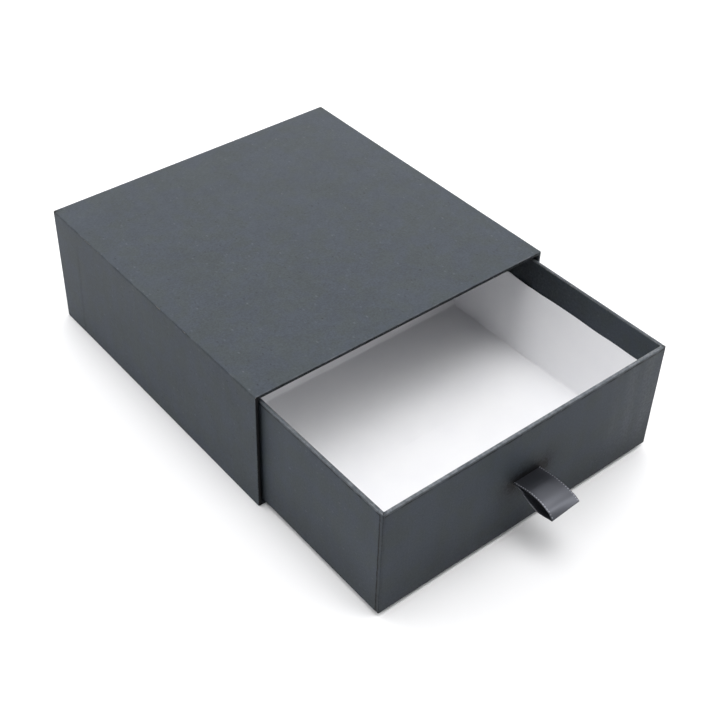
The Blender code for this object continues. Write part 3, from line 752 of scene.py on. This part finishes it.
# shares of the strand above: of the way out, of the rise at the edges and of the bulge in the middle;
# shares of the strand below: of the way out and of the sag
ribbon = {
    "width": 16 * mm, "thickness": 0.28 * mm, "strandGap": 0.01 * mm, "tail": 9.2 * mm,
    "tailBend": 1.2 * mm, "tailTurn": 0.35 * mm, "slitDepth": 0.7 * mm, "foldTurn": 0.12 * mm,
    "riseLeft": 1.6 * mm, "riseRight": 1.1 * mm, "bulge": 0.6 * mm, "sag": 6 * mm,
    "fallLeft": 3.2 * mm, "fallRight": 1.6 * mm, "fallFromShare": 0.7, "fallAbove": 1.6,
    "fallBelow": 2.6, "foldFallShares": (0.93, 1, 1.05),
    "upperShares": [(0, 0, 0), (0.1, 0.24, 0.36), (0.2, 0.52, 0.72), (0.3, 0.8, 0.96), (0.4, 0.97, 1),
                    (0.54, 0.95, 0.68), (0.68, 0.73, 0.38), (0.8, 0.44, 0.16), (0.9, 0.16, 0.06)],
    "lowerShares": [(0.88, 0.4), (0.74, 0.72), (0.58, 0.8), (0.42, 0.62), (0.28, 0.33), (0.14, 0.08),
                    (0, 0)],
    "steps": 8, "columns": 33, "stitchesLess": 0.85, "stitchesShares": (0.5, 0.54),
    "bendInside": 0.3 * mm, "bendOutside": 2.5 * mm}


# Smooth curve through control points: each stretch is the cubic whose slopes are half the chords beside it
def smoothLine(control, steps):
    padded = np.concatenate([control[:1], control, control[-1:]])
    before, start, end, after = (padded[k:len(control) - 1 + k, None] for k in range(4))
    t = (np.arange(steps) / steps)[None, :, None]
    points = (start + t * (end - before) / 2 + t ** 2 * (2 * before - 5 * start + 4 * end - after) / 2
              + t ** 3 * (3 * start - before - 3 * end + after) / 2)
    return np.concatenate([points.reshape(-1, control.shape[1]), control[-1:]])


# Ribbon: a line down from its upper tail, out through the slit, round the loop and back to its lower tail,
# carried across its width while the rise and fall of the loop change evenly from left to right
def makeRibbon():
    look = ribbon
    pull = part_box("pull_ribbon")
    centreX = (pull[0][0] + pull[1][0]) / 2
    slitZ = drawer["slitHeight"]
    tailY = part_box("ribbon_tails")[1][1] - look["thickness"] / 2
    turnY = tailY - look["tailTurn"]
    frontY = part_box("drawer_wrap")[0][1]
    slitY = frontY + look["slitDepth"]
    foldY = pull[0][1] + look["thickness"] / 2
    nearFoldY = foldY + look["foldTurn"]
    half = look["thickness"] / 2 + look["strandGap"]
    lengthOut = frontY - foldY
    fallAbove, fallFold, fallBelow = look["foldFallShares"]
    # each control point: y, height over the slit, then shares of the rise, the sag, the fall and the bulge
    control = [(tailY, look["tail"], 0, 0, 0, 0), (tailY, look["tailBend"], 0, 0, 0, 0),
               (turnY, half, 0, 0, 0, 0), (slitY, half, 0, 0, 0, 0)]
    for out, bow, bulge in look["upperShares"]:
        fallen = max(out - look["fallFromShare"], 0) * look["fallAbove"]
        control.append((frontY - lengthOut * out, half, bow, 0, fallen, bulge))
    control += [(nearFoldY, half, 0, 0, fallAbove, 0), (foldY, 0, 0, 0, fallFold, 0),
                (nearFoldY, -half, 0, 0, fallBelow, 0)]
    for out, bow in look["lowerShares"]:
        fallen = max(out - look["fallFromShare"], 0) * look["fallBelow"]
        control.append((frontY - lengthOut * out, -half, 0, bow, fallen, 0))
    control += [(slitY, -half, 0, 0, 0, 0), (turnY, -half, 0, 0, 0, 0),
                (tailY, -look["tailBend"], 0, 0, 0, 0), (tailY, -look["tail"], 0, 0, 0, 0)]
    line = smoothLine(np.array(control), look["steps"])
    y, height, risen, sagged, fallen, bulged = (line[:, part:part + 1] for part in range(6))
    across = np.linspace(-1, 1, look["columns"])[None, :]
    rise = look["riseLeft"] + (look["riseRight"] - look["riseLeft"]) * (across + 1) / 2
    fall = look["fallLeft"] + (look["fallRight"] - look["fallLeft"]) * (across + 1) / 2
    z = slitZ + height + risen * rise - sagged * look["sag"] - fallen * fall
    z = z + bulged * look["bulge"] * (1 - across ** 2)
    x, y, z = np.broadcast_arrays(centreX + across * look["width"] / 2, y, z)
    points = np.stack([x, y, z], axis=-1)
    steps = np.linalg.norm(np.diff(points[:, look["columns"] // 2], axis=0), axis=-1)
    along = np.concatenate([[0], np.cumsum(steps)])
    # the turns of weft show on the face, and hardly on the strand below, which is seen from its back
    stitches = 1 - look["stitchesLess"] * ramp(np.linspace(0, 1, len(line)), *look["stitchesShares"])
    piece = makeSheet("satin_ribbon", points, None, satinMaterial, look["thickness"], turned=True, offset=0,
                      across=x - centreX, along=along[:, None], stitches=stitches[:, None])
    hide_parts("ribbon_tails", "pull_ribbon")
    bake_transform(piece)
    print("ribbon length, mm", round(float(along[-1]) / mm, 1))


makeRibbon()
print("ribbon made")

# Studio: a wide white floor under a soft sky, and a white backdrop that only the camera sees, from a little
# below the horizon upwards
studio = {
    "floorSize": 12, "floorColour": "#EEEEEF", "backdropRadius": 5.9, "backdropRings": 12,
    "backdropSides": 48, "backdropFrom": -0.02}
camera = {
    "place": (-0.30795, -0.41234, 0.43507), "azimuth": -38.29, "elevation": 39.55, "roll": 0.52,
    "focalPixels": 1285.6, "picturePixels": 720, "sensor": 36, "shift": (0.0556, -0.0556),
    "nearest": 0.01}
# each soft light of the sky: azimuth and elevation of its middle in degrees, sharpness and strength
skyLights = {
    "overhead": (0, 80, 40, 8.27), "overheadRear": (180, 80, 40, 3.85), "front": (30, 35, 40, 0.7),
    "frontHigh": (30, 58, 40, 3.88), "frontRight": (60, 35, 40, 4.69), "left": (270, 35, 40, 3.8),
    "leftHigh": (270, 58, 40, 1.73), "right": (120, 12, 6, 3.08), "rearRight": (150, 12, 6, 1.72),
    "rear": (180, 12, 6, 0.91), "rearLeft": (210, 12, 6, 2.55), "rearLeftHigh": (210, 42, 6, 0.49)}


# Sky: its strength is the sum over the lights of the cosine of the angle from each one's middle,
# where that is above zero, to the power of its sharpness and times its strength
def makeSky():
    world = bpy.data.worlds.new("studioSky")
    bpy.context.scene.world = world
    world.use_nodes = True
    tree = world.node_tree
    way = addNode(tree, "TexCoord", output="Generated")
    total = 0.0
    for azimuth, elevation, sharpness, strength in skyLights.values():
        a, e = azimuth * degree, elevation * degree
        middle = (math.sin(a) * math.cos(e), -math.cos(a) * math.cos(e), math.sin(e))
        cosine = addNode(tree, "VectorMath", {0: way, 1: middle}, output="Value", operation="DOT_PRODUCT")
        above = addNode(tree, "Math", {0: cosine, 1: 0.0}, operation="MAXIMUM")
        lobe = addNode(tree, "Math", {0: above, 1: sharpness}, operation="POWER")
        total = addNode(tree, "Math", {0: lobe, 1: strength, 2: total}, operation="MULTIPLY_ADD")
    background = tree.nodes["Background"]
    background.inputs["Color"].default_value = (1, 1, 1, 1)
    tree.links.new(total, background.inputs["Strength"])


# Piece of the studio, which isn't part of the object, with one shader as its whole material
def makeStage(name, points, faces, materialName, kind, values):
    material, tree = newMaterial(materialName)
    addNode(tree, "OutputMaterial", {"Surface": addNode(tree, kind, values)}, output=None)
    mesh = bpy.data.meshes.new(name)
    mesh.from_pydata(points, [], faces)
    mesh.materials.append(material)
    piece = bpy.data.objects.new(name, mesh)
    bpy.context.scene.collection.objects.link(piece)
    return piece


# Floor is one square; backdrop is half a sphere: radius times the cosine and sine of its two angles
def makeStudio():
    side = studio["floorSize"] / 2
    square = [(-side, -side, 0), (side, -side, 0), (side, side, 0), (-side, side, 0)]
    makeStage("floor", square, [(0, 1, 2, 3)], "whiteStudioFloor", "BsdfDiffuse",
              {"Color": studio["floorColour"]})
    rings, sides = studio["backdropRings"], studio["backdropSides"]
    rise = np.linspace(studio["backdropFrom"], math.pi / 2, rings + 1)[:, None]
    turn = np.linspace(0, 2 * math.pi, sides, endpoint=False)[None, :]
    places = np.broadcast_arrays(np.cos(rise) * np.cos(turn), np.cos(rise) * np.sin(turn), np.sin(rise))
    points = np.stack(places, axis=-1)
    index = np.arange((rings + 1) * sides).reshape(rings + 1, sides)
    ahead = np.roll(index, -1, axis=1)
    faces = np.stack([index[:-1], index[1:], ahead[1:], ahead[:-1]], axis=-1)
    backdrop = makeStage("backdrop", (points * studio["backdropRadius"]).reshape(-1, 3),
                         faces.reshape(-1, 4).tolist(), "whitePaperBackdrop", "Emission",
                         {"Color": (1, 1, 1, 1), "Strength": 1.0})
    # it is there for the camera alone, and the sky behind it lights the box
    backdrop.visible_diffuse = backdrop.visible_glossy = backdrop.visible_shadow = False
    backdrop.visible_transmission = backdrop.visible_volume_scatter = False
    makeSky()


# Camera at the photograph's place: its axes come from azimuth and elevation, then it is rolled about its
# line of sight, and its lens is the focal length in pixels over the picture's, times the sensor
def makeCamera():
    a, e, r = (camera[key] * degree for key in ("azimuth", "elevation", "roll"))
    right = np.array([math.cos(a), math.sin(a), 0])
    back = np.array([math.sin(a) * math.cos(e), -math.cos(a) * math.cos(e), math.sin(e)])
    up = np.cross(back, right)
    right, up = math.cos(r) * right + math.sin(r) * up, math.cos(r) * up - math.sin(r) * right
    data = bpy.data.cameras.new("camera")
    data.sensor_width = camera["sensor"]
    data.lens = camera["focalPixels"] / camera["picturePixels"] * camera["sensor"]
    data.shift_x, data.shift_y = camera["shift"]
    data.clip_start = camera["nearest"]
    view = bpy.data.objects.new("camera", data)
    bpy.context.scene.collection.objects.link(view)
    matrix = np.eye(4)
    matrix[:3] = np.stack([right, up, back, camera["place"]], axis=-1)
    view.matrix_world = Matrix(matrix.tolist())
    bpy.context.scene.camera = view


makeStudio()
makeCamera()
bpy.context.scene.view_settings.view_transform = "Standard"
print("studio made")
